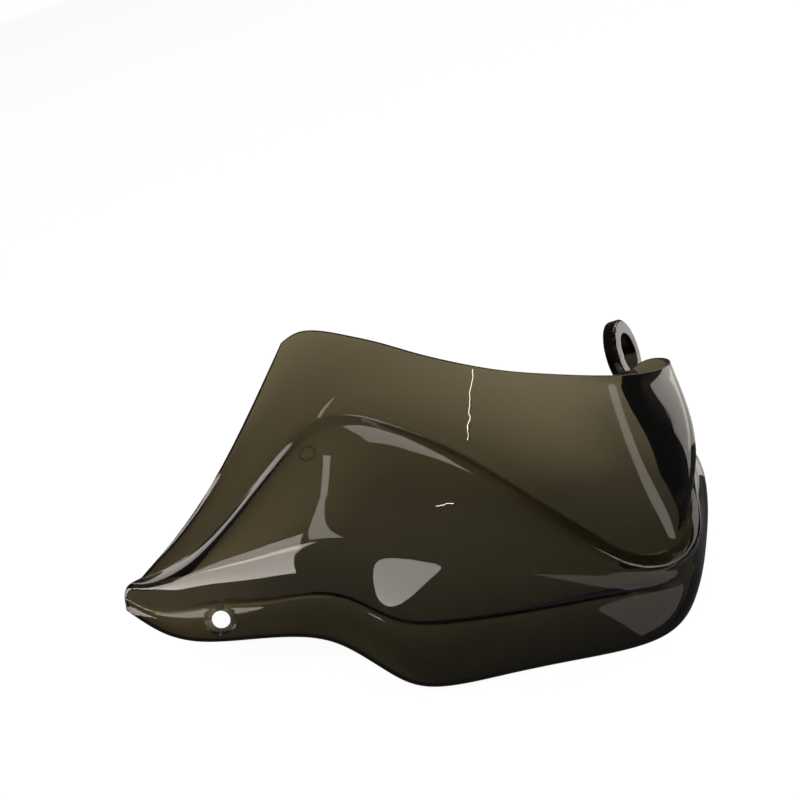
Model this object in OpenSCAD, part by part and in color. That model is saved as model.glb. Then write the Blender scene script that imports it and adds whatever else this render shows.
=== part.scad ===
// Motorcycle hand guard, left hand, moulded in one piece in see-through smoked plastic.
// Millimetres. The origin is the centre of the bar-end eye, +X points outboard along the shield,
// -Y is forward and +Z is up. The shield is one skin, lofted through lines that run from the
// inboard edge, station by station, round the outboard corner and back along the arm to the eye.

/* [Overall] */
// Eye centre to the tip of the nose, along the shield
guard_length = 253; // [230:1:280]
// Eye centre to the front of the shield
guard_depth = 155; // [140:1:175]
// Lowest point of the rim to the top of the wing
guard_height = 166; // [150:1:185]

/* [Skin] */
// Wall of the shield
shield_wall = 3.2; // [2.6:0.1:4]
// Wall at the thin top edge of the wing
wing_wall = 2.4; // [2:0.1:3]
// Wall of the arm that carries the eye, and of the lip along the rim
arm_wall = 4.4; // [3.6:0.1:5.2]
// Height of the rounded lip along the rim
lip_height = 6; // [4:0.5:8]
// How far the lip stands forward
lip_swell = 1.5; // [0.5:0.5:3]
// How far the bulge stands over the rim flange at the step
step_depth = 7; // [4:0.5:9]
// Height of that step
step_height = 7; // [5:0.5:9]
// How far the shoulder of the bulge stands over the crease
shoulder_rise = 9; // [6:0.5:11]
// Distance from the crease to the shoulder
shoulder_width = 9; // [7:0.5:11]
// How wide the crease is rounded where it is sharpest
crease_width = 1; // [0.8:0.1:1.5]

/* [Bar end eye] */
// Bore for the bar end
eye_bore = 22; // [16:0.5:24]
// Outer width of the eye
eye_width = 38; // [36:0.5:42]
// Thickness of the eye along the bar
eye_thickness = 7.5; // [6.5:0.5:9]
// Rounding of the eye's outer edges
eye_round = 1.5; // [0.5:0.5:2.5]
// How far the bar end turns forward of the shield's length, in degrees
eye_turn = 15; // [10:1:20]
// How far the bar end rises over the shield's length, in degrees
eye_rise = 9; // [5:1:12]

/* [Nose screw hole] */
// Through hole for the inboard screw
screw_bore = 9; // [6:0.5:10]
// Widest part of the countersink
sink_width = 15; // [13:0.5:17]
// Depth of the countersink under the local skin
sink_depth = 2.2; // [1.4:0.1:2.4]

/* [Hidden] */

$fn = 96;
smoked_plastic = [0.27, 0.25, 0.18];

// Sizes that the lines below are drawn at; a change of size stretches them from the eye outwards
drawn_length = 253;
drawn_depth = 155;
drawn_height = 166;

// Each line of the skin, from the inboard edge (first) to the eye (last)
rim_line = [
    [-253, -150, 4], [-240, -153, -13], [-223, -152, -23], [-196, -147, -30], [-174, -145, -36],
    [-159, -146, -44], [-143, -151, -61], [-127, -156, -75], [-86, -149, -78], [-55, -144, -82],
    [-31, -142, -84], [-9, -138, -84], [6, -127, -78], [16, -102, -65], [23, -75, -56],
    [28, -43, -45], [5, -11, -25], [6, 8, -12]];
foot_line = [
    [-252, -148, 10], [-238, -151, -3], [-216, -145, -6], [-191, -142, -15], [-166, -139, -17],
    [-149, -140, -24], [-133, -144, -41], [-115, -144, -47], [-80, -141, -52], [-49, -138, -55],
    [-24, -136, -57], [-4, -134, -61], [12, -124, -61], [18, -102, -57], [25, -78, -50],
    [25, -48, -39], [2, -14, -22], [5, 5, -8]];
belly_line = [
    [-250, -148, 14], [-230, -155, 13], [-204, -156, 17], [-176, -156, 19], [-146, -153, 27],
    [-126, -150, 25], [-109, -149, 14], [-92, -148, 1], [-66, -147, -17], [-41, -143, -31],
    [-20, -139, -44], [0, -134, -51], [13, -120, -49], [19, -99, -47], [22, -78, -41],
    [20, -50, -30], [1, -19, -17], [3, 1, -2]];
crease_line = [
    [-242, -143, 16], [-232, -145, 17], [-208, -138, 22], [-180, -121, 38], [-150, -102, 56],
    [-129, -94, 52], [-107, -97, 37], [-83, -103, 21], [-56, -113, -5], [-33, -120, -28],
    [-16, -125, -45], [1, -122, -48], [11, -111, -43], [12, -93, -40], [7, -76, -37], [7, -50, -25],
    [-2, -23, -11], [1, -3, 4]];
wing_line = [
    [-209, -107, 30], [-194, -98, 42], [-178, -93, 54], [-157, -87, 63], [-134, -81, 66],
    [-116, -83, 60], [-93, -88, 49], [-70, -95, 37], [-44, -102, 19], [-21, -105, 5], [0, -102, -8],
    [22, -87, -16], [31, -74, -22], [28, -64, -20], [19, -52, -17], [9, -39, -11], [-3, -25, -7],
    [-1, -5, 7]];
top_line = [
    [-162, -55, 80], [-153, -51, 83], [-140, -53, 80], [-127, -59, 76], [-111, -64, 70],
    [-95, -72, 63], [-74, -80, 55], [-53, -87, 48], [-32, -90, 42], [-11, -88, 34], [8, -79, 25],
    [21, -58, 15], [24, -46, 13], [17, -36, 11], [10, -30, 8], [5, -27, 3], [-4, -24, 0],
    [-2, -9, 12]];

// How strong the shoulder and the step are, and how soft the crease is, at each station
shoulder_strength = [0.4, 1, 1, 0.8, 0.5, 0.5, 0.8, 1, 1, 1, 1, 1, 0.8, 0.6, 0.4, 0.2, 0, 0];
crease_softness = [1, 1, 1, 1.5, 3, 4, 3, 2, 1, 1, 1, 1, 1, 1.5, 2, 2, 1, 1];
step_strength = [0, 0, 0, 0.1, 0.5, 1, 1, 1, 1, 1, 0.8, 0.4, 0, 0, 0, 0, 0, 0];

last_station = len(rim_line) - 1;
arm_start = 11;

// Faces per station and per line of the skin
station_cuts = 4;
line_cuts = 3;

// Where the screw hole goes through the skin, in stations and in lines
screw_station = 2.25;
screw_line = 1.4;
through = 30;

function unit(v) = v / norm(v);
function sized(p) = [
    p[0] * guard_length / drawn_length,
    p[1] * guard_depth / drawn_depth,
    p[2] * guard_height / drawn_height];

// Outward direction of the skin at a station
function outward(i) = unit(cross(
    belly_line[min(i + 1, last_station)] - belly_line[max(i - 1, 0)],
    crease_line[i] - rim_line[i]));

// Grows from 0 at either end of the guard to 1 two stations in
function away_from_ends(i) = min(1, i / 2, (last_station - i) / 2);

// The control points of one station, from the rim to the top of the wing
// The foot counts twice and the crease has a row either side, which draws the skin tight round them
function station(i) = let (
        out = outward(i),
        rim = sized(rim_line[i]),
        foot = sized(foot_line[i]),
        belly = sized(belly_line[i]),
        crease = sized(crease_line[i]),
        wing = sized(wing_line[i]),
        top = sized(top_line[i]),
        lip = rim + min(lip_height, norm(foot - rim) / 2) * unit(foot - rim)
            + lip_swell * away_from_ends(i) * out,
        brow = foot + min(step_height, norm(belly - foot) / 2) * unit(belly - foot)
            + step_depth * step_strength[i] * out,
        fold = crease_width * crease_softness[i],
        shoulder = crease + min(shoulder_width, norm(belly - crease) / 2) * unit(belly - crease)
            + shoulder_rise * shoulder_strength[i] * out)
    [rim, lip, foot, foot, brow, belly, shoulder,
        crease + fold * unit(shoulder - crease), crease, crease + fold * unit(wing - crease), wing, top];

net = [for (i = [0:last_station]) station(i)];
last_line = len(net[0]) - 1;

// Uniform cubic spline: weights of four neighbouring points, and of their slope
function weights(t) = [pow(1 - t, 3), 3 * pow(t, 3) - 6 * t * t + 4,
    -3 * pow(t, 3) + 3 * t * t + 3 * t + 1, pow(t, 3)] / 6;
function slopes(t) = [-pow(1 - t, 2), 3 * t * t - 4 * t, -3 * t * t + 2 * t + 1, t * t] / 2;

// A point past either end mirrors its neighbour, so that the skin ends on its first and last points
function beyond(list, i, last) = i < 0 ? 2 * list[0] - list[1]
    : i > last ? 2 * list[last] - list[last - 1]
    : list[i];
function blend(list, at, last, w) = let (k = min(floor(at), last - 1))
    beyond(list, k - 1, last) * w[0] + beyond(list, k, last) * w[1]
    + beyond(list, k + 1, last) * w[2] + beyond(list, k + 2, last) * w[3];
function part_of(at, last) = at - min(floor(at), last - 1);

// Column of control points at one place along the guard, and its slope
function column(s) = let (w = weights(part_of(s, last_station)))
    [for (j = [0:last_line]) blend([for (i = [0:last_station]) net[i][j]], s, last_station, w)];
function column_slope(s) = let (w = slopes(part_of(s, last_station)))
    [for (j = [0:last_line]) blend([for (i = [0:last_station]) net[i][j]], s, last_station, w)];

// Wall at a place: thin at the top of the wing, thick in the arm and in the lip
function wall_at(s, t) = let (
        to_arm = max(0, min(1, (s - arm_start) / 3)),
        to_lip = max(0, 1 - t / 2),
        to_top = max(0, (t - last_line + 2) / 2),
        body = shield_wall + (wing_wall - shield_wall) * to_top)
    body + (arm_wall - body) * max(to_arm * (1 - to_top), to_lip);

// Outer point and outward normal of the skin, given the columns at its place
function skin(col, col_slope, t) = let (
        k = part_of(t, last_line),
        w = weights(k),
        p = blend(col, t, last_line, w),
        along = blend(col_slope, t, last_line, w),
        up = blend(col, t, last_line, slopes(k)))
    [p, unit(cross(along, up))];

stations = [for (n = [0:last_station * station_cuts]) n / station_cuts];
lines = [for (n = [0:last_line * line_cuts]) n / line_cuts];

// One closed ring of the wall: up the outer face, over the top edge, down the inner face
function wall_ring(s) = let (
        col = column(s),
        col_slope = column_slope(s),
        samples = [for (t = lines) skin(col, col_slope, t)],
        last = len(lines) - 1)
    concat(
        [for (sample = samples) sample[0]],
        [for (n = [last:-1:0]) samples[n][0] - wall_at(s, lines[n]) * samples[n][1]]);

module guard_skin() {
    rings = [for (s = stations) wall_ring(s)];
    size = len(rings[0]);
    last = len(rings) - 1;
    pairs = len(lines);
    sides = [for (r = [0:last - 1]) for (n = [0:size - 1])
        let (a = r * size + n, b = r * size + (n + 1) % size)
        each [[a, b, a + size], [b, b + size, a + size]]];
    start = [for (n = [0:pairs - 2])
        let (a = n, b = n + 1, c = size - 2 - n, d = size - 1 - n)
        each [[a, d, b], [b, d, c]]];
    end = [for (face = start) [face[0] + last * size, face[2] + last * size, face[1] + last * size]];
    polyhedron([for (ring = rings) each ring], concat(sides, start, end));
}

// Turns a shape from +Z to the axis of the bar end
module along_bar() {
    rotate([0, 90 - eye_rise, -eye_turn])
        children();
}

// Round flange of the eye, with rounded outer edges
module eye_disc() {
    middle = eye_thickness / 2 - eye_round;
    corner = eye_width / 2 - eye_round;
    along_bar()
        rotate_extrude()
            polygon(concat(
                [[0, -eye_thickness / 2]],
                [for (a = [-90:15:0]) [corner, -middle] + eye_round * [cos(a), sin(a)]],
                [for (a = [0:15:90]) [corner, middle] + eye_round * [cos(a), sin(a)]],
                [[0, eye_thickness / 2]]));
}

// Space that stays clear either side of the eye, so that what clamps it finds two flat faces
module eye_seats() {
    for (side = [-1, 1])
        along_bar()
            translate([0, 0, side * (eye_thickness + through) / 2])
                cylinder(d = eye_width - 2 * eye_round, h = through, center = true);
}

// Screw hole with its countersink, square to the local skin
module screw_hole() {
    spot = skin(column(screw_station), column_slope(screw_station), screw_line);
    normal = spot[1];
    translate(spot[0])
        rotate([0, acos(normal[2]), atan2(normal[1], normal[0])]) {
            cylinder(d = screw_bore, h = through, center = true);
            translate([0, 0, -sink_depth])
                cylinder(d1 = screw_bore, d2 = 2 * sink_width - screw_bore, h = 2 * sink_depth);
        }
}

module guard_shell() {
    color(smoked_plastic)
        difference() {
            union() {
                guard_skin();
                eye_disc();
            }
            along_bar()
                cylinder(d = eye_bore, h = 2 * through, center = true);
            eye_seats();
            screw_hole();
        }
}

guard_shell();
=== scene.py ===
"""Looks of the one-piece smoked hand guard: a smooth, see-through skin in place of the CAD solid."""
import bpy
import math
import numpy as np
from mathutils import Matrix, Vector


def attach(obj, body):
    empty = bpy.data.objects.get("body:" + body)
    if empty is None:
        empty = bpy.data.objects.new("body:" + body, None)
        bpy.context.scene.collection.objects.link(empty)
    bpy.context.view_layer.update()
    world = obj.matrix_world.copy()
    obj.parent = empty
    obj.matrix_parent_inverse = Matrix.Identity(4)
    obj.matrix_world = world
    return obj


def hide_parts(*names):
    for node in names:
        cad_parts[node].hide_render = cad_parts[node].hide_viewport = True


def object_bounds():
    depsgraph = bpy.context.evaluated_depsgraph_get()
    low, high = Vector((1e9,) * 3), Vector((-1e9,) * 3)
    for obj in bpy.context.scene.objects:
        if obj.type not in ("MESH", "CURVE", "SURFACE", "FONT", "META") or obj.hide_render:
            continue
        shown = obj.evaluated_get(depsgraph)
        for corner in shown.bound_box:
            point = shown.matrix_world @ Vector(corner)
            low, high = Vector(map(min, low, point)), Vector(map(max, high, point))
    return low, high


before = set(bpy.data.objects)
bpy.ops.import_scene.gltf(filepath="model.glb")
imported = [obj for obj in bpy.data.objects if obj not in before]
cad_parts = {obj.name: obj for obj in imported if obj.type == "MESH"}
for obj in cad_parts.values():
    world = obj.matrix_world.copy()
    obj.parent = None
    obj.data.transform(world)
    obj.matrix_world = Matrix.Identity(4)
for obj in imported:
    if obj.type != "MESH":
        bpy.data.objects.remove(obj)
cad_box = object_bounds()

MM = 0.001

# Lines of the skin as in the part's source, in millimetres
RIM = [
    (-253, -150, 4), (-240, -153, -13), (-223, -152, -23), (-196, -147, -30), (-174, -145, -36),
    (-159, -146, -44), (-143, -151, -61), (-127, -156, -75), (-86, -149, -78), (-55, -144, -82),
    (-31, -142, -84), (-9, -138, -84), (6, -127, -78), (16, -102, -65), (23, -75, -56), (28, -43, -45),
    (5, -11, -25), (6, 8, -12)]
FOOT = [
    (-252, -148, 10), (-238, -151, -3), (-216, -145, -6), (-191, -142, -15), (-166, -139, -17),
    (-149, -140, -24), (-133, -144, -41), (-115, -144, -47), (-80, -141, -52), (-49, -138, -55),
    (-24, -136, -57), (-4, -134, -61), (12, -124, -61), (18, -102, -57), (25, -78, -50), (25, -48, -39),
    (2, -14, -22), (5, 5, -8)]
BELLY = [
    (-250, -148, 14), (-230, -155, 13), (-204, -156, 17), (-176, -156, 19), (-146, -153, 27),
    (-126, -150, 25), (-109, -149, 14), (-92, -148, 1), (-66, -147, -17), (-41, -143, -31),
    (-20, -139, -44), (0, -134, -51), (13, -120, -49), (19, -99, -47), (22, -78, -41), (20, -50, -30),
    (1, -19, -17), (3, 1, -2)]
CREASE = [
    (-242, -143, 16), (-232, -145, 17), (-208, -138, 22), (-180, -121, 38), (-150, -102, 56),
    (-129, -94, 52), (-107, -97, 37), (-83, -103, 21), (-56, -113, -5), (-33, -120, -28),
    (-16, -125, -45), (1, -122, -48), (11, -111, -43), (12, -93, -40), (7, -76, -37), (7, -50, -25),
    (-2, -23, -11), (1, -3, 4)]
WING = [
    (-209, -107, 30), (-194, -98, 42), (-178, -93, 54), (-157, -87, 63), (-134, -81, 66),
    (-116, -83, 60), (-93, -88, 49), (-70, -95, 37), (-44, -102, 19), (-21, -105, 5), (0, -102, -8),
    (22, -87, -16), (31, -74, -22), (28, -64, -20), (19, -52, -17), (9, -39, -11), (-3, -25, -7),
    (-1, -5, 7)]
TOP = [
    (-162, -55, 80), (-153, -51, 83), (-140, -53, 80), (-127, -59, 76), (-111, -64, 70), (-95, -72, 63),
    (-74, -80, 55), (-53, -87, 48), (-32, -90, 42), (-11, -88, 34), (8, -79, 25), (21, -58, 15),
    (24, -46, 13), (17, -36, 11), (10, -30, 8), (5, -27, 3), (-4, -24, 0), (-2, -9, 12)]
# Factors for each station: the shoulder's rise, the fold's width and the step's depth
SHOULDER = [0.4, 1, 1, 0.8, 0.5, 0.5, 0.8, 1, 1, 1, 1, 1, 0.8, 0.6, 0.4, 0.2, 0, 0]
SOFTNESS = [1, 1, 1, 1.5, 3, 4, 3, 2, 1, 1, 1, 1, 1, 1.5, 2, 2, 1, 1]
STEP = [0, 0, 0, 0.1, 0.5, 1, 1, 1, 1, 1, 0.8, 0.4, 0, 0, 0, 0, 0, 0]

# Sizes of the mould, in millimetres
SHIELD_WALL, WING_WALL, ARM_WALL = 3.2, 2.4, 4.4
LIP_HEIGHT, LIP_SWELL = 6.0, 1.5
STEP_DEPTH, STEP_HEIGHT = 7.0, 7.0
SHOULDER_RISE, SHOULDER_WIDTH = 9.0, 9.0
CREASE_WIDTH = 1.0
EYE_BORE, EYE_WIDTH, EYE_THICKNESS, EYE_ROUND = 22.0, 38.0, 7.5, 1.5
BORE_EASE = 0.5
SCREW_BORE, SINK_WIDTH, SINK_DEPTH = 9.0, 15.0, 2.2
EDGE_ROUND = 0.6

# The eye's axis, in degrees, and the screw's place on the skin, by station and line
EYE_TURN, EYE_RISE = 15.0, 9.0
SCREW_STATION, SCREW_LINE = 2.25, 1.4

# Where the wall changes: the arm's first station, and over how many stations or lines it blends
ARM_START, ARM_BLEND = 11, 3
LIP_BLEND, TOP_BLEND = 2, 2

# How finely things are cut: per station, per line, per edge, round a turned tool, per rounding
STATION_CUTS, LINE_CUTS, EDGE_CUTS = 14, 7, 3
EYE_CUTS, SCREW_CUTS = 128, 96
ROUND_CUTS, EASE_CUTS = 6, 4
# Faces that meet at more degrees than this keep a sharp edge
SHARP_ANGLE = 40

# How far the cutting tools run past the wall, in millimetres
TOOL_MARGIN, TOOL_SLIP = 6, 0.02
BORE_REACH, SEAT_REACH, SCREW_REACH = 20, 30, 12


def unit(v):
    """The same direction, one long."""
    return v / np.linalg.norm(v)


def control_net():
    """The spline's control points: the six lines, and the lip, brow, shoulder and fold between them."""
    rim, foot, belly, crease, wing, top = (
        np.array(line, float) for line in (RIM, FOOT, BELLY, CREASE, WING, TOP))
    last = len(rim) - 1
    net = []
    for i in range(last + 1):
        out = unit(np.cross(belly[min(i + 1, last)] - belly[max(i - 1, 0)], crease[i] - rim[i]))
        ends = min(1, i / 2, (last - i) / 2)
        up = foot[i] - rim[i]
        lip = rim[i] + min(LIP_HEIGHT, np.linalg.norm(up) / 2) * unit(up) + LIP_SWELL * ends * out
        up = belly[i] - foot[i]
        brow = foot[i] + min(STEP_HEIGHT, np.linalg.norm(up) / 2) * unit(up) + STEP_DEPTH * STEP[i] * out
        up = belly[i] - crease[i]
        shoulder = (crease[i] + min(SHOULDER_WIDTH, np.linalg.norm(up) / 2) * unit(up)
                    + SHOULDER_RISE * SHOULDER[i] * out)
        fold = CREASE_WIDTH * SOFTNESS[i]
        net.append([rim[i], lip, foot[i], foot[i], brow, belly[i], shoulder,
                    crease[i] + fold * unit(shoulder - crease[i]), crease[i],
                    crease[i] + fold * unit(wing[i] - crease[i]), wing[i], top[i]])
    return np.array(net)


NET = control_net()
LAST_STATION, LAST_LINE = NET.shape[0] - 1, NET.shape[1] - 1


def padded(net):
    """The net with a mirrored row past each end, so that the skin ends on its first and last points."""
    net = np.concatenate([2 * net[:1] - net[1:2], net, 2 * net[-1:] - net[-2:-1]])
    return np.concatenate([2 * net[:, :1] - net[:, 1:2], net, 2 * net[:, -1:] - net[:, -2:-1]], axis=1)


def weights(t):
    """Shares of four control points in a uniform cubic B-spline, at t from 0 to 1."""
    return np.array([(1 - t) ** 3, 3 * t ** 3 - 6 * t * t + 4,
                     -3 * t ** 3 + 3 * t * t + 3 * t + 1, t ** 3]) / 6


def slopes(t):
    """How fast those shares change."""
    return np.array([-(1 - t) ** 2, 3 * t * t - 4 * t, -3 * t * t + 2 * t + 1, t * t]) / 2


def basis(at, last, w):
    """Rows of spline weights over the padded control points, one row for each place in at."""
    rows = np.zeros((len(at), last + 3))
    for r, a in enumerate(at):
        k = min(int(a), last - 1)
        rows[r, k:k + 4] = w(a - k)
    return rows


def skin(s, t):
    """Points and outward normals of the outer face, for a row of lines t at each station s."""
    net = padded(NET)
    p, n = np.zeros(t.shape + (3,)), np.zeros(t.shape + (3,))
    for r, (at, row) in enumerate(zip(s, t)):
        col = np.tensordot(basis([at], LAST_STATION, weights)[0], net, 1)
        col_slope = np.tensordot(basis([at], LAST_STATION, slopes)[0], net, 1)
        across = basis(row, LAST_LINE, weights)
        p[r] = across @ col
        n[r] = np.cross(across @ col_slope, basis(row, LAST_LINE, slopes) @ col)
    return p, n / np.linalg.norm(n, axis=2, keepdims=True)


def wall(s, t):
    """Thickness of the wall: least at the top edge, most in the lip and the arm."""
    to_arm = np.clip((s - ARM_START) / ARM_BLEND, 0, 1)[:, None]
    to_lip = np.clip(1 - t / LIP_BLEND, 0, 1)
    to_top = np.clip((t - LAST_LINE + TOP_BLEND) / TOP_BLEND, 0, 1)
    body = SHIELD_WALL + (WING_WALL - SHIELD_WALL) * to_top
    return body + (ARM_WALL - body) * np.maximum(to_arm * (1 - to_top), to_lip)


def drawn_in(s, t):
    """Lines per station, drawn in from both edges, so that the rounded edges end where the CAD's do."""
    p, _ = skin(s, t)
    step = np.linalg.norm(np.diff(p, axis=1), axis=2)
    far = np.concatenate([np.zeros((len(s), 1)), np.cumsum(step, axis=1)], axis=1)
    rows = []
    for r in range(len(s)):
        first = np.interp(EDGE_ROUND, far[r], t[r])
        last = np.interp(far[r, -1] - EDGE_ROUND, far[r], t[r])
        rows.append(first + (last - first) * t[r] / LAST_LINE)
    return np.array(rows)


def round_edge(outer, beside, inner, normal):
    """Points round one edge of the wall, from the outer face to the inner; beside lies next to outer."""
    out = outer - beside
    out = unit(out - np.dot(out, normal) * normal)
    turns = [math.pi / 2 * k / EDGE_CUTS for k in range(1, EDGE_CUTS + 1)]
    near = [outer + EDGE_ROUND * ((math.cos(f) - 1) * normal + math.sin(f) * out) for f in turns]
    far = [inner + EDGE_ROUND * ((1 - math.cos(f)) * normal + math.sin(f) * out) for f in reversed(turns)]
    return near + far


def guard_mesh():
    """The skin's wall as a row of closed rings, with rounded edges; its two ends are still open."""
    s = np.linspace(0, LAST_STATION, LAST_STATION * STATION_CUTS + 1)
    t = np.tile(np.linspace(0, LAST_LINE, LAST_LINE * LINE_CUTS + 1), (len(s), 1))
    t = drawn_in(s, t)
    p, n = skin(s, t)
    inside = p - wall(s, t)[:, :, None] * n
    rings = []
    for a in range(len(s)):
        top_edge = round_edge(p[a, -1], p[a, -2], inside[a, -1], n[a, -1])
        low_edge = round_edge(p[a, 0], p[a, 1], inside[a, 0], n[a, 0])
        rings.append(list(p[a]) + top_edge + list(inside[a, ::-1]) + low_edge[::-1])
    rings = np.array(rings)
    count = rings.shape[1]
    verts = rings.reshape(-1, 3) * MM
    faces = []
    for r in range(len(s) - 1):
        for k in range(count):
            a, b = r * count + k, r * count + (k + 1) % count
            faces.append((a, b, b + count, a + count))
    return verts, faces, count, len(s), t.shape[1]


def new_object(name, verts, faces):
    """A mesh object, linked to the scene."""
    mesh = bpy.data.meshes.new(name)
    mesh.from_pydata([tuple(v) for v in verts], [], faces)
    mesh.update()
    obj = bpy.data.objects.new(name, mesh)
    bpy.context.scene.collection.objects.link(obj)
    return obj


def build_skin():
    """The skin as one closed mesh, with a mark on its edges for the painted shade there."""
    verts, faces, count, rows, cols = guard_mesh()
    # caps at the inboard edge and inside the eye, as strips from the outer to the inner face
    caps = []
    arc_size = 2 * EDGE_CUTS
    inner_start = cols + arc_size
    for r, flip in ((0, False), (rows - 1, True)):
        base = r * count
        for k in range(cols - 1):
            a, b = base + k, base + k + 1
            c, d = base + inner_start + cols - 2 - k, base + inner_start + cols - 1 - k
            quad = (a, d, c, b)
            caps.append(quad[::-1] if flip else quad)
        top_arc = [base + cols - 1 + k for k in range(arc_size + 2)]
        low_arc = [base + inner_start + cols - 1 + k for k in range(arc_size + 1)] + [base]
        for edge in (top_arc, low_arc):
            caps.append(tuple(edge) if flip else tuple(edge[::-1]))
    obj = new_object("guard_skin", verts, faces + caps)
    # the rounded edges and the inboard end are marked for the painted shade that darkens them
    rim = obj.data.attributes.new("rim", "FLOAT", "POINT")
    for k in range(len(verts)):
        at = k % count
        on_arc = cols <= at < inner_start or at >= inner_start + cols
        rim.data[k].value = 1.0 if on_arc or k < count else 0.0
    return obj


def lathe(name, profile, steps, place):
    """A closed solid turned round local Z from (radius, height) points in mm."""
    verts, faces = [], []
    for k in range(steps):
        a = 2 * math.pi * k / steps
        for r, z in profile:
            verts.append(place @ Vector((r * math.cos(a) * MM, r * math.sin(a) * MM, z * MM)))
    n = len(profile)
    for k in range(steps):
        j = (k + 1) % steps
        for q in range(n - 1):
            faces.append((k * n + q, j * n + q, j * n + q + 1, k * n + q + 1))
    faces.append(tuple(k * n for k in reversed(range(steps))))
    faces.append(tuple(k * n + n - 1 for k in range(steps)))
    return new_object(name, verts, faces)


def arc(x, z, radius, start, end, steps):
    """Points on an arc about (x, z), from one angle in degrees to another."""
    turns = [math.radians(start + (end - start) * k / steps) for k in range(steps + 1)]
    return [(x + radius * math.cos(f), z + radius * math.sin(f)) for f in turns]


def join(target, tool, operation):
    """Adds a tool to the target, or takes it away, and removes the tool."""
    mod = target.modifiers.new(operation.lower(), "BOOLEAN")
    mod.operation, mod.object, mod.solver = operation, tool, "EXACT"
    graph = bpy.context.evaluated_depsgraph_get()
    mesh = bpy.data.meshes.new_from_object(target.evaluated_get(graph))
    target.modifiers.clear()
    target.data = mesh
    bpy.data.objects.remove(tool)


def add_eye(target):
    """The eye, its eased bore, and the flat seats that keep the arm clear of its two faces."""
    along_bar = (Matrix.Rotation(math.radians(-EYE_TURN), 4, "Z")
                 @ Matrix.Rotation(math.radians(90 - EYE_RISE), 4, "Y"))
    half, corner, bore = EYE_THICKNESS / 2, EYE_WIDTH / 2 - EYE_ROUND, EYE_BORE / 2
    body = (arc(corner, -half + EYE_ROUND, EYE_ROUND, -90, 0, ROUND_CUTS)
            + arc(corner, half - EYE_ROUND, EYE_ROUND, 0, 90, ROUND_CUTS))
    join(target, lathe("eye", body, EYE_CUTS, along_bar), "UNION")
    wide, mouth = bore + TOOL_MARGIN, bore + BORE_EASE
    hole = ([(wide, -BORE_REACH), (wide, -half - TOOL_SLIP), (mouth, -half)]
            + arc(mouth, -half + BORE_EASE, BORE_EASE, 270, 180, EASE_CUTS)
            + arc(mouth, half - BORE_EASE, BORE_EASE, 180, 90, EASE_CUTS)
            + [(wide, half + TOOL_SLIP), (wide, BORE_REACH)])
    join(target, lathe("hole", hole, EYE_CUTS, along_bar), "DIFFERENCE")
    for side in (-1, 1):
        seat = [(corner, z) for z in sorted((side * half, side * (half + SEAT_REACH)))]
        join(target, lathe("seat", seat, EYE_CUTS, along_bar), "DIFFERENCE")


def cut_screw_hole(target):
    """The countersunk hole through the nose, square to the skin."""
    spot, normal = skin(np.array([SCREW_STATION]), np.array([[SCREW_LINE]]))
    spot, normal = Vector(spot[0, 0] * MM), Vector(normal[0, 0])
    at_screw = Matrix.Translation(spot) @ normal.to_track_quat("Z", "Y").to_matrix().to_4x4()
    screw, sink = SCREW_BORE / 2, SINK_WIDTH / 2
    hole = [(screw, -SCREW_REACH), (screw, -SINK_DEPTH), (sink, 0), (2 * sink - screw, SINK_DEPTH)]
    join(target, lathe("screw", hole, SCREW_CUTS, at_screw), "DIFFERENCE")


guard = build_skin()
add_eye(guard)
cut_screw_hole(guard)
guard.name = "smoked_guard"
guard.data.name = "smoked_guard"
guard.data.shade_smooth()
guard.data.set_sharp_from_angle(angle=math.radians(SHARP_ANGLE))


# Looks of the plastic; lengths are in metres from here on
WHITE = (1, 1, 1, 1)
TINT = (0.30, 0.25, 0.08, 1)
TINT_DENSITY = 1200
SHADOW_TINT = (0.62, 0.59, 0.52, 1)
IOR = 1.5
# slow waves of the moulded face
WAVE_SCALE, WAVE_DETAIL, WAVE_STRENGTH, WAVE_HEIGHT = 14, 1.5, 0.35, 0.0012
# patches of duller polish: where in the noise they start and are full, and the roughness at each
DULL_SCALE, DULL_DETAIL = 55, 5
DULL_START, DULL_FULL = 0.45, 0.75
ROUGH_LEAST, ROUGH_MOST = 0.015, 0.07
# the ring that an ejector pin left near the top of the bulge, pressed in and painted darker as shade
PIN_MARK, PIN_FACING, PIN_RADIUS = (-0.1493, -0.1180, 0.0476), (0.04, -0.47, 0.88), 0.0037
PIN_HALF_LINE, PIN_STRENGTH, PIN_HEIGHT, PIN_PAINTED_SHADE = 0.00025, 0.7, 0.0004, 0.5
# pale hairlines on the wing: from, to, and the way the face looks there
PALE_HAIRLINES = [((-0.0679, -0.0834, 0.0516), (-0.0784, -0.1010, 0.0244), (0.04, -0.83, 0.55)),
             ((-0.0955, -0.1347, 0.0128), (-0.0878, -0.1320, 0.0111), (0.37, -0.67, 0.65))]
HAIRLINE_WIDTH, HAIRLINE_WOBBLE, HAIRLINE_SCALE = 0.00035, 0.0035, 160
HAIRLINE_COLOUR = (0.75, 0.72, 0.62, 1)
# near-black opaque colour painted on as shade, on the edges and the pin's ring, and how much of it the
# edges take
PAINTED_SHADE_COLOUR, PAINTED_SHADE_ROUGHNESS, EDGE_PAINTED_SHADE = (0.02, 0.018, 0.012, 1), 0.3, 0.85


def add_node(nt, kind, inputs):
    """A node with its inputs set, each to a plain value or to another node's output."""
    node = nt.nodes.new(kind)
    for key, value in inputs.items():
        if isinstance(value, bpy.types.NodeSocket):
            nt.links.new(value, node.inputs[key])
        else:
            node.inputs[key].default_value = value
    return node


def math_node(nt, operation, *values):
    """The result of a Math node; each value is a number or another node's output."""
    node = add_node(nt, "ShaderNodeMath", dict(enumerate(values)))
    node.operation = operation
    return node.outputs[0]


def mixed(nt, share, first, second):
    """The first shader, with this share of the second."""
    return add_node(nt, "ShaderNodeMixShader", {0: share, 1: first, 2: second}).outputs[0]


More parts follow.
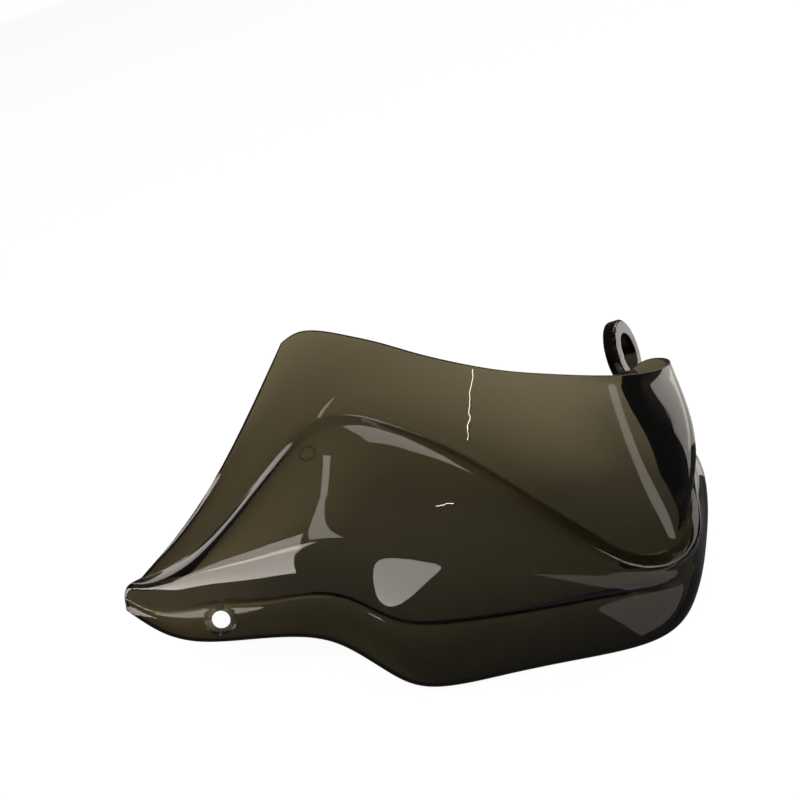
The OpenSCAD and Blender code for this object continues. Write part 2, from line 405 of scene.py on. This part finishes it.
def reach(nt, place, start, way):
    """How far the shaded point lies from start along way."""
    rel = add_node(nt, "ShaderNodeVectorMath", {0: place, 1: start})
    rel.operation = "SUBTRACT"
    dot = add_node(nt, "ShaderNodeVectorMath", {0: rel.outputs["Vector"], 1: way})
    dot.operation = "DOT_PRODUCT"
    return dot.outputs["Value"]


def pale_hairline(nt, place, wobble, start, end, facing):
    """1 on a wavering hairline that runs over the face from start to end, 0 beside it."""
    run = Vector(end) - Vector(start)
    half = run.length / 2
    side = reach(nt, place, start, run.cross(Vector(facing)).normalized())
    side = math_node(nt, "ADD", side, wobble)
    on_line = math_node(nt, "COMPARE", side, 0.0, HAIRLINE_WIDTH / 2)
    between = math_node(nt, "COMPARE", reach(nt, place, start, run.normalized()), half, half)
    return math_node(nt, "MULTIPLY", on_line, between)


def all_pale_hairlines(nt, place):
    """1 on any of the pale hairlines."""
    waver = add_node(nt, "ShaderNodeTexNoise", {"Vector": place, "Scale": HAIRLINE_SCALE})
    wobble = math_node(nt, "MULTIPLY", math_node(nt, "SUBTRACT", waver.outputs["Fac"], 0.5), HAIRLINE_WOBBLE)
    total = 0.0
    for line in PALE_HAIRLINES:
        total = math_node(nt, "ADD", total, pale_hairline(nt, place, wobble, *line))
    return total


def pin_ring(nt, place):
    """1 on the ring about the pin's axis, 0 beside it."""
    along = Vector((0, 0, 1)).cross(Vector(PIN_FACING)).normalized()
    squares = []
    for way in (along, Vector(PIN_FACING).cross(along).normalized()):
        off = math_node(nt, "ABSOLUTE", reach(nt, place, PIN_MARK, way))
        squares.append(math_node(nt, "POWER", off, 2.0))
    off_axis = math_node(nt, "SQRT", math_node(nt, "ADD", *squares))
    return math_node(nt, "COMPARE", off_axis, PIN_RADIUS, PIN_HALF_LINE)


def moulded_face(nt, place, ring):
    """Clear polished plastic: slow waves, patches of duller polish, and the pin's ring pressed in."""
    wave = add_node(nt, "ShaderNodeTexNoise", {"Vector": place, "Scale": WAVE_SCALE, "Detail": WAVE_DETAIL})
    flow = add_node(nt, "ShaderNodeBump", {
        "Height": wave.outputs["Fac"], "Strength": WAVE_STRENGTH, "Distance": WAVE_HEIGHT})
    mark = add_node(nt, "ShaderNodeBump", {
        "Height": ring, "Strength": PIN_STRENGTH, "Distance": PIN_HEIGHT, "Normal": flow.outputs["Normal"]})
    dull = add_node(nt, "ShaderNodeTexNoise", {"Vector": place, "Scale": DULL_SCALE, "Detail": DULL_DETAIL})
    polish = add_node(nt, "ShaderNodeMapRange", {
        "Value": dull.outputs["Fac"], "From Min": DULL_START, "From Max": DULL_FULL,
        "To Min": ROUGH_LEAST, "To Max": ROUGH_MOST})
    return add_node(nt, "ShaderNodeBsdfPrincipled", {
        "Base Color": WHITE, "Transmission Weight": 1, "IOR": IOR,
        "Roughness": polish.outputs["Result"], "Normal": mark.outputs["Normal"]}).outputs[0]


def empty_tree(block):
    """The node tree of a material or world, cleared."""
    block.use_nodes = True
    block.node_tree.nodes.clear()
    return block.node_tree


def smoked():
    """Tinted see-through plastic: clear faces, the colour in the depth of the wall, with painted shade on
    the edges and the pin's ring, and pale hairlines drawn on.
    """
    mat = bpy.data.materials.new("smoked_plastic")
    nt = empty_tree(mat)
    place = nt.nodes.new("ShaderNodeTexCoord").outputs["Object"]
    ring = pin_ring(nt, place)
    look = moulded_face(nt, place, ring)
    # the hairlines are drawn in a pale diffuse colour
    pale = add_node(nt, "ShaderNodeBsdfDiffuse", {"Color": HAIRLINE_COLOUR}).outputs[0]
    look = mixed(nt, all_pale_hairlines(nt, place), look, pale)
    # the ring is painted a little darker than the wall around it: painted shade along the pressed line
    dark = add_node(nt, "ShaderNodeBsdfPrincipled", {
        "Base Color": PAINTED_SHADE_COLOUR, "Roughness": PAINTED_SHADE_ROUGHNESS}).outputs[0]
    look = mixed(nt, math_node(nt, "MULTIPLY", ring, PIN_PAINTED_SHADE), look, dark)
    # light that enters by the narrow edge runs the long way through the tint, so edges look near black;
    # that shade is painted on the marked edges as a near-black opaque face
    edge = nt.nodes.new("ShaderNodeAttribute")
    edge.attribute_name = "rim"
    look = mixed(nt, math_node(nt, "MULTIPLY", edge.outputs["Fac"], EDGE_PAINTED_SHADE), look, dark)
    # shadow rays pass straight through and are tinted, so the guard's shadow stays faint
    clear = add_node(nt, "ShaderNodeBsdfTransparent", {"Color": SHADOW_TINT}).outputs[0]
    look = mixed(nt, nt.nodes.new("ShaderNodeLightPath").outputs["Is Shadow Ray"], look, clear)
    tint = add_node(nt, "ShaderNodeVolumeAbsorption", {"Color": TINT, "Density": TINT_DENSITY})
    add_node(nt, "ShaderNodeOutputMaterial", {"Surface": look, "Volume": tint.outputs[0]})
    return mat


guard.data.materials.clear()
guard.data.materials.append(smoked())
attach(guard, "root")
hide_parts("guard_shell")


# The stage: how white floor and world are to the camera, in reflections and, for the world, elsewhere
FLOOR_COLOUR = (0.9, 0.9, 0.9, 1)
FLOOR_TO_CAMERA, FLOOR_IN_GLOSS = 0.9, 0.12
WORLD_TO_CAMERA, WORLD_IN_GLOSS, WORLD_ELSEWHERE = 1, 0.08, 0.62
FLOOR_REACH, FLOOR_DROP = 60.0, 0.0005


def gloss_only_factor(nt, path):
    """1 for a ray that a glossy face reflected, 0 for one that went through it."""
    return math_node(nt, "MULTIPLY", path.outputs["Is Glossy Ray"], path.outputs["Is Reflection Ray"])


def white_stage():
    """Pale floor that reads as white to the camera and keeps the object's shadow."""
    mat = bpy.data.materials.new("pale_floor")
    nt = empty_tree(mat)
    path = nt.nodes.new("ShaderNodeLightPath")
    lit = add_node(nt, "ShaderNodeBsdfDiffuse", {"Color": FLOOR_COLOUR}).outputs[0]
    glow = add_node(nt, "ShaderNodeEmission", {"Color": WHITE}).outputs[0]
    dim = add_node(nt, "ShaderNodeEmission", {"Strength": FLOOR_IN_GLOSS}).outputs[0]
    seen = mixed(nt, math_node(nt, "MULTIPLY", path.outputs["Is Camera Ray"], FLOOR_TO_CAMERA), lit, glow)
    seen = mixed(nt, gloss_only_factor(nt, path), seen, dim)
    add_node(nt, "ShaderNodeOutputMaterial", {"Surface": seen})
    level, far = cad_box[0][2] - FLOOR_DROP, FLOOR_REACH
    corners = [(-far, -far, level), (far, -far, level), (far, far, level), (-far, far, level)]
    floor = new_object("floor", corners, [(0, 1, 2, 3)])
    floor.data.materials.append(mat)
    return level


def white_world():
    """Even light from all round, white to the camera and dark in reflections."""
    world = bpy.data.worlds.new("studio")
    bpy.context.scene.world = world
    nt = empty_tree(world)
    path = nt.nodes.new("ShaderNodeLightPath")
    soft, dark, white = (
        add_node(nt, "ShaderNodeBackground", {"Color": WHITE, "Strength": strength}).outputs[0]
        for strength in (WORLD_ELSEWHERE, WORLD_IN_GLOSS, WORLD_TO_CAMERA))
    seen = mixed(nt, gloss_only_factor(nt, path), soft, dark)
    seen = mixed(nt, path.outputs["Is Camera Ray"], seen, white)
    add_node(nt, "ShaderNodeOutputWorld", {"Surface": seen})


floor_level = white_stage()
white_world()


# Lamps. Radiance is what the gloss sees; an area lamp's energy is four times that, times its area
WARM = (1.0, 0.93, 0.86)
CENTRE = Vector((-0.115, -0.115, 0.0))
CARD_GAP = 0.001


def lamp(name, place, turn, size, radiance, gloss_only=True):
    """A soft box; the ones that only the gloss sees give the highlights and light nothing else."""
    data = bpy.data.lights.new(name, "AREA")
    data.shape = "RECTANGLE"
    data.size, data.size_y = size
    data.energy = 4 * radiance * size[0] * size[1]
    data.color = WARM
    obj = bpy.data.objects.new(name, data)
    obj.location = place
    obj.rotation_euler = turn
    bpy.context.scene.collection.objects.link(obj)
    obj.visible_camera = False
    obj.visible_transmission = False
    if gloss_only:
        obj.visible_diffuse = False
    return obj


def degrees(x, y, z):
    """A turn for a lamp, which shines down at (0, 0, 0), up at (180, 0, 0) and back at (90, 0, 0)."""
    return (math.radians(x), math.radians(y), math.radians(z))


def toward(place, aim):
    """The turn that makes a lamp shine from place at aim."""
    return (Vector(aim) - Vector(place)).to_track_quat("-Z", "Y").to_euler()


def sky_lamp(name, azimuth, elevation, size, radiance, spot=CENTRE, far=1.2):
    """A soft box at a distance from a spot, in a direction: azimuth 0 is forward, 90 outboard."""
    az, el = math.radians(azimuth), math.radians(elevation)
    way = Vector((math.sin(az) * math.cos(el), -math.cos(az) * math.cos(el), math.sin(el)))
    place = spot + far * way
    return lamp(name, place, toward(place, spot), size, radiance)


def floor_card(name, x0, x1, y0, y1, radiance):
    """A bright card that lies on the floor and faces up."""
    place = ((x0 + x1) / 2, (y0 + y1) / 2, floor_level + CARD_GAP)
    return lamp(name, place, degrees(180, 0, 0), (x1 - x0, y1 - y0), radiance)


# cards close before the guard: the light patch on the nose, and the window-shaped one on the shield
lamp("card_blob", place=(-0.241, -0.230, -0.003), turn=degrees(180, 12, 0),
     size=(0.140, 0.140), radiance=4.8)
lamp("card_blob_back", place=(-0.205, -0.205, 0.018), turn=degrees(90, 8, 0),
     size=(0.080, 0.038), radiance=3.5)
window = lamp("card_window", place=(-0.128, -0.250, -0.038), turn=degrees(180, 0, 8),
              size=(0.048, 0.190), radiance=3)
window.data.shape = "ELLIPSE"
# two cards on the floor, for the flange and the outboard corner, and a low box behind that corner
floor_card("card_flange", x0=-0.02, x1=0.12, y0=-0.40, y1=-0.15, radiance=0.6)
floor_card("card_wrap", x0=0.03, x1=0.50, y0=0.02, y1=0.35, radiance=1.2)
wrap_place = (0.30, 0.10, -0.045)
lamp("box_wrap", wrap_place, toward(wrap_place, aim=(0, 0.10, -0.045)), size=(0.32, 0.075), radiance=2)
# boxes further off: two behind the guard, inboard and outboard, and one before it, outboard
sky_lamp("box_left", azimuth=-135, elevation=17, size=(0.20, 0.50), radiance=1.3)
sky_lamp("box_right", azimuth=139, elevation=34, size=(0.38, 1.40), radiance=1.9)
sky_lamp("box_wing", azimuth=55, elevation=14, size=(0.070, 0.14), radiance=1.7,
         spot=Vector((0, -0.1, -0.03)), far=0.5)
# narrow strips, one before the guard and one above it
lamp("strip_front", place=(-0.154, -0.27, 0.127), turn=degrees(90, 3, 0), size=(0.018, 0.25), radiance=2.6)
lamp("strip_top", place=(-0.137, -0.195, 0.25), turn=degrees(0, 0, -5), size=(0.022, 0.15), radiance=2.6)
# the key stands far off, so that it lights the guard and the floor evenly
KEY_PLACE = (1.5, -7.45, 6.6)
key = lamp("key", KEY_PLACE, toward(KEY_PLACE, CENTRE), size=(3.2, 3.2), radiance=29, gloss_only=False)
key.visible_glossy = False

# The photograph's view: 40 degrees across a square frame
CAMERA_PLACE = (0.01181, -0.55773, 0.26651)
CAMERA_RIGHT = Vector((0.94493, 0.08965, -0.31476))
CAMERA_DOWN = Vector((-0.24126, -0.45907, -0.85502))
CAMERA_AHEAD = Vector((-0.22115, 0.88387, -0.41215))
LENS, SENSOR = 49.5, 36
cam_data = bpy.data.cameras.new("camera")
cam_data.lens = LENS
cam_data.sensor_width = SENSOR
cam_data.sensor_fit = "HORIZONTAL"
cam = bpy.data.objects.new("camera", cam_data)
cam_turn = Matrix((CAMERA_RIGHT, -CAMERA_DOWN, -CAMERA_AHEAD)).transposed().to_4x4()
cam.matrix_world = Matrix.Translation(CAMERA_PLACE) @ cam_turn
bpy.context.scene.collection.objects.link(cam)
bpy.context.scene.camera = cam
bpy.context.scene.view_settings.view_transform = "Standard"
